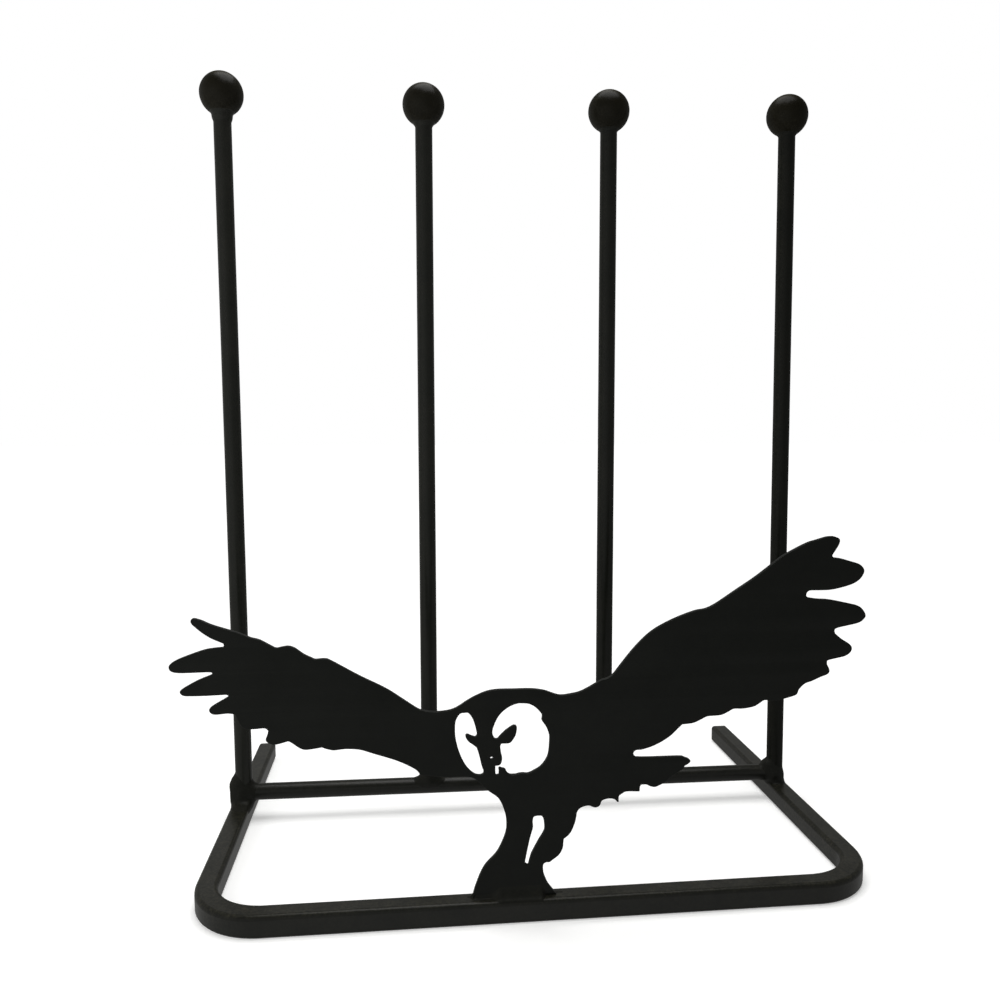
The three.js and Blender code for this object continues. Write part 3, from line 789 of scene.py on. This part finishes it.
def ball(number, material):
    """A forged steel ball, a little uneven under its paint."""
    low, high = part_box(f"finial_{number}")
    middle, radius = (low + high) / 2, (high.x - low.x) / 2
    bm = bmesh.new()
    bmesh.ops.create_icosphere(bm, subdivisions=BALL_DIVISIONS, radius=radius)
    for corner in bm.verts:
        out = corner.co.normalized()
        spot = middle + corner.co
        uneven = noise.noise(spot * BALL_UNEVEN_SCALE)
        uneven += BALL_FINE_SHARE * noise.noise(spot * BALL_FINE_SCALE)
        corner.co += out * (BALL_UNEVEN * uneven - BALL_INSET)
        corner.co += middle
    mesh = bpy.data.meshes.new("ball")
    bm.to_mesh(mesh)
    bm.free()
    finished(f"ball_{number}", mesh, material, [f"finial_{number}"])


# Making materials

class Nodes:
    """Short ways to add shader nodes to one material or world, which it clears first."""

    def __init__(self, owner):
        owner.use_nodes = True
        self.tree = owner.node_tree
        self.tree.nodes.clear()

    def feed(self, socket, value):
        """Links a socket to another one, or gives it a value."""
        if isinstance(value, bpy.types.NodeSocket):
            self.tree.links.new(value, socket)
        else:
            socket.default_value = value

    def add(self, kind, inputs=None, **settings):
        """A new node with its settings and inputs."""
        node = self.tree.nodes.new(kind)
        for name, value in settings.items():
            setattr(node, name, value)
        for name, value in (inputs or {}).items():
            self.feed(node.inputs[name], value)
        return node

    def noise(self, place, scale, detail, roughness):
        """Noise over the object, about 0.5 on the whole."""
        inputs = {"Vector": place, "Scale": scale, "Detail": detail, "Roughness": roughness}
        return self.add("ShaderNodeTexNoise", inputs).outputs["Fac"]

    def span(self, value, low, high, to_low=0.0, to_high=1.0):
        """Moves a value from one range to another, held inside it."""
        inputs = {"Value": value, "From Min": low, "From Max": high, "To Min": to_low, "To Max": to_high}
        return self.add("ShaderNodeMapRange", inputs).outputs["Result"]

    def math(self, operation, first, second=0.0):
        """A sum, product or the like of two values."""
        inputs = {0: first, 1: second}
        return self.add("ShaderNodeMath", inputs, operation=operation).outputs["Value"]

    def product(self, first, *others):
        """Multiplies values in turn."""
        for other in others:
            first = self.math("MULTIPLY", first, other)
        return first

    def parts(self, first, second, shares):
        """Adds two values by their shares."""
        return self.math("ADD", self.product(first, shares[0]), self.product(second, shares[1]))

    def blend(self, share, first, second):
        """Mixes two colours."""
        node = self.add("ShaderNodeMix", data_type="RGBA")
        for index, value in ((MIX_SHARE, share), (MIX_FIRST, first), (MIX_SECOND, second)):
            self.feed(node.inputs[index], value)
        return node.outputs[MIX_RESULT]

    def bump(self, height, distance, strength, before=None):
        """A surface direction bent by a height, on top of another bend where one is given."""
        inputs = {"Height": height, "Distance": distance, "Strength": strength}
        if before is not None:
            inputs["Normal"] = before
        return self.add("ShaderNodeBump", inputs).outputs["Normal"]


def black_paint(name, dark, light, roughness, film, film_rough=0.32, corner_film=1.0, peel=0.45,
                waves=0.25, dust_and_highlight=0.1, dust_and_highlight_colour=DUST_COLOUR, grit=0.0, edge=0.1):
    """Satin black paint on steel: mottled, slightly uneven, rubbed at its edges, dusty on top, where on
    the balls the dust is also a painted highlight.
    """
    material = bpy.data.materials.new(name)
    n = Nodes(material)
    place = n.add("ShaderNodeTexCoord").outputs["Object"]
    mottle = n.noise(place, *MOTTLE)
    cloud = n.noise(place, *CLOUD)
    grain = n.noise(place, *GRAIN)

    tone = n.parts(mottle, cloud, TONE_SHARES)
    colour = n.blend(n.span(tone, *TONE_SPAN), (*dark, 1), (*light, 1))

    facing = n.add("ShaderNodeSeparateXYZ", {0: n.add("ShaderNodeNewGeometry").outputs["Normal"]})
    upward = n.span(facing.outputs["Z"], *UPWARD_SPAN)
    speck = n.span(n.noise(place, *SPECK), *SPECK_SPAN)
    settled = n.span(n.noise(place, *SETTLING), *SETTLING_SPAN)
    speckled = n.math("ADD", n.product(speck, SPECK_SHARE), 1 - SPECK_SHARE)
    dust_and_highlight_mask = n.product(upward, settled, speckled)
    # Dust on upward faces; on the balls it is also a painted highlight that lightens their tops
    colour = n.blend(n.product(dust_and_highlight_mask, dust_and_highlight), colour, (*dust_and_highlight_colour, 1))

    frontal = n.math("ABSOLUTE", facing.outputs["Y"])
    open_side = n.span(frontal, *FRONTAL_SPAN)
    gritty = n.span(n.noise(place, *GRIT), *GRIT_SPAN)
    stained = n.span(n.noise(place, *STAIN), *STAIN_SPAN)
    gritty = n.product(gritty, stained, open_side)
    colour = n.blend(n.product(gritty, grit), colour, (*GRIT_COLOUR, 1))

    rubbed = n.add("ShaderNodeAttribute", attribute_name="wear").outputs["Fac"]
    patchy = n.span(n.noise(place, *PATCHES), *PATCHES_SPAN)
    colour = n.blend(n.product(rubbed, patchy, edge), colour, (*RUBBED_COLOUR, 1))

    gloss = n.span(n.parts(cloud, mottle, GLOSS_SHARES), *GLOSS_SPAN, *roughness)
    gloss = n.math("ADD", gloss, n.product(dust_and_highlight_mask, DUST_ROUGHNESS))
    skin = n.bump(n.noise(place, *PEEL), PEEL_DEPTH, peel)
    skin = n.bump(mottle, WAVE_DEPTH, waves, skin)
    skin = n.bump(grain, GRAIN_DEPTH, peel, skin)
    shader = n.add("ShaderNodeBsdfPrincipled", {
        "Base Color": colour,
        "Roughness": gloss,
        "Normal": skin,
        "Metallic": 0.0,
        "Specular IOR Level": 0.0,
        "Coat Weight": n.span(rubbed, 0.0, 1.0, film, film * corner_film),
        "Coat Roughness": film_rough,
        "Coat IOR": COAT_IOR,
        "Coat Normal": skin,
    })
    n.add("ShaderNodeOutputMaterial", {"Surface": shader.outputs["BSDF"]})
    return material


def ray_kinds(n):
    """Whether a ray comes from the camera, from a gloss or through something clear."""
    path = n.add("ShaderNodeLightPath")
    return [path.outputs[f"Is {kind} Ray"] for kind in ("Camera", "Glossy", "Transmission")]


def floor_material():
    """Plain white floor, which the camera and reflections see a little brighter than its light alone."""
    material = bpy.data.materials.new("floor_white")
    n = Nodes(material)
    camera, glossy, through = ray_kinds(n)
    matte = n.add("ShaderNodeBsdfDiffuse", {"Color": FLOOR_COLOUR})
    place = n.add("ShaderNodeTexCoord").outputs["Object"]
    away = n.add("ShaderNodeVectorMath", {0: place}, operation="LENGTH").outputs["Value"]
    lift = n.product(n.math("MAXIMUM", camera, through), n.span(away, *FLOOR_GLOW))
    glow = n.add("ShaderNodeEmission", {"Color": FLOOR_GLOW_COLOUR, "Strength": lift})
    both = n.add("ShaderNodeAddShader", {0: matte.outputs["BSDF"], 1: glow.outputs["Emission"]})
    where = n.add("ShaderNodeSeparateXYZ", {0: place})
    across = n.span(where.outputs["X"], *MIRRORED_ACROSS)
    behind = n.span(where.outputs["Y"], *MIRRORED_BEHIND)
    strength = n.product(across, behind)
    mirrored = n.add("ShaderNodeEmission", {"Color": MIRRORED_COLOUR, "Strength": strength})
    shaders = {0: glossy, 1: both.outputs["Shader"], 2: mirrored.outputs["Emission"]}
    look = n.add("ShaderNodeMixShader", shaders)
    n.add("ShaderNodeOutputMaterial", {"Surface": look.outputs["Shader"]})
    return material


# Setting the stage

def stage_floor():
    """A wide floor under the rack, which belongs to the picture and not to the part."""
    mesh = bpy.data.meshes.new("floor")
    half = FLOOR_HALF
    corners = [(-half, -half, 0), (half, -half, 0), (half, half, 0), (-half, half, 0)]
    mesh.from_pydata(corners, [], [(0, 1, 2, 3)])
    mesh.materials.append(floor_material())
    floor = bpy.data.objects.new("floor", mesh)
    bpy.context.scene.collection.objects.link(floor)


def stage_world():
    """A white studio: plain to the camera, darker above and to the right in reflections."""
    world = bpy.data.worlds.new("studio")
    bpy.context.scene.world = world
    n = Nodes(world)
    camera, glossy, through = ray_kinds(n)
    seen = n.math("MAXIMUM", n.math("MAXIMUM", camera, glossy), through)
    way = n.add("ShaderNodeSeparateXYZ", {0: n.add("ShaderNodeTexCoord").outputs["Generated"]})
    ceiling = n.span(way.outputs["Z"], *CEILING)
    beside = n.span(way.outputs["X"], *ROOM_ACROSS)
    strength = n.math("ADD", n.product(glossy, n.product(ceiling, beside)), camera)
    strength = n.math("ADD", strength, through)
    strength = n.math("MAXIMUM", strength, n.span(seen, 0.0, 1.0, WORLD_FILL, 0.0))
    back = n.add("ShaderNodeBackground", {"Color": STUDIO_COLOUR, "Strength": strength})
    n.add("ShaderNodeOutputWorld", {"Surface": back.outputs["Background"]})


def area_light(name, place, aim, size, power):
    """A white rectangular lamp that points at a place."""
    data = bpy.data.lights.new(name, "AREA")
    data.shape = "RECTANGLE"
    data.size, data.size_y = size
    data.energy = power
    lamp = bpy.data.objects.new(name, data)
    lamp.location = place
    lamp.rotation_mode = "QUATERNION"
    lamp.rotation_quaternion = (Vector(aim) - Vector(place)).to_track_quat("-Z", "Y")
    bpy.context.scene.collection.objects.link(lamp)
    return lamp


def stage_camera():
    """The photograph's camera, turned by its yaw, pitch and roll."""
    data = bpy.data.cameras.new("camera")
    data.sensor_width = SENSOR_WIDTH
    data.sensor_fit = "HORIZONTAL"
    data.lens = LENS
    data.clip_start, data.clip_end = CAMERA_CLIP
    camera = bpy.data.objects.new("camera", data)
    bpy.context.scene.collection.objects.link(camera)
    ahead = Vector((
        math.sin(CAMERA_YAW) * math.cos(CAMERA_PITCH),
        math.cos(CAMERA_YAW) * math.cos(CAMERA_PITCH),
        -math.sin(CAMERA_PITCH),
    ))
    level = Vector((math.cos(CAMERA_YAW), -math.sin(CAMERA_YAW), 0))
    upright = level.cross(ahead)
    right = level * math.cos(CAMERA_ROLL) + upright * math.sin(CAMERA_ROLL)
    up = right.cross(ahead)
    turn = Matrix((right, up, -ahead)).transposed().to_4x4()
    camera.matrix_world = Matrix.Translation(CAMERA_PLACE) @ turn
    bpy.context.scene.camera = camera


stage_camera()
stage_floor()
stage_world()
area_light("key", **KEY_LIGHT)
fill = area_light("fill_left", **FILL_LIGHT)
fill.visible_glossy = False
bpy.context.scene.view_settings.view_transform = "Standard"

rail_paint = black_paint("rail_paint", **RAIL_PAINT)
crossbar_paint = black_paint("crossbar_paint", **CROSSBAR_PAINT)
# Rod paints are copies of one paint: painted light makes them lighter towards the left, and they are
# glossier to the left
rod_paints = []
for i, (film, tone) in enumerate(zip(ROD_FILMS, ROD_PAINTED_LIGHT), 1):
    dark, light = ([value * tone for value in colour] for colour in (ROD_DARK, ROD_LIGHT))
    rod_paints.append(black_paint(f"rod_paint_{i}", dark, light, film=film, **ROD_PAINT))
ball_paints = [
    black_paint(f"ball_paint_{i}", film=film, **BALL_PAINT) for i, film in enumerate(BALL_FILMS, 1)
]
plate_paint = black_paint("plate_paint", **PLATE_PAINT)
weld_paint = black_paint("weld_paint", **WELD_PAINT)

base_rail(rail_paint)
left_cut = mesh_ends("crossbar", X)[0]
right_cut = crossbar_at(rod_axis(RIGHT_ROD)[0].x + CROSSBAR_PAST_ROD)
bar_radius = round_radius()
crossbar_mesh, crossbar_wear = round_bar(left_cut, right_cut, bar_radius)
finished("crossbar_round", crossbar_mesh, crossbar_paint, ["crossbar"], crossbar_wear)
for i, (rod_paint, ball_paint) in enumerate(zip(rod_paints, ball_paints), 1):
    foot, top, axis = rod_axis(i)
    start, end = foot - axis * ROD_SINK, top + axis * ROD_RISE
    rod_mesh, rod_wear = round_bar(start, end, bar_radius + PAINT_FILM)
    finished(f"rod_round_{i}", rod_mesh, rod_paint, [f"rod_{i}"], rod_wear)
    ball(i, ball_paint)
for i, melt, collar in NECKS:
    neck_joint(i, melt, collar, rod_paints[i - 1])
end_foot(LEFT_ROD, "left", -1, left_cut, LEFT_DROPS, LEFT_MELTS, weld_paint)
for i, melt in MIDDLE_MELTS:
    middle_foot(i, melt, weld_paint)
end_foot(RIGHT_ROD, "right", 1, right_cut, RIGHT_DROPS, RIGHT_MELTS, weld_paint)
owl_plate(plate_paint)
owl_joint(weld_paint)
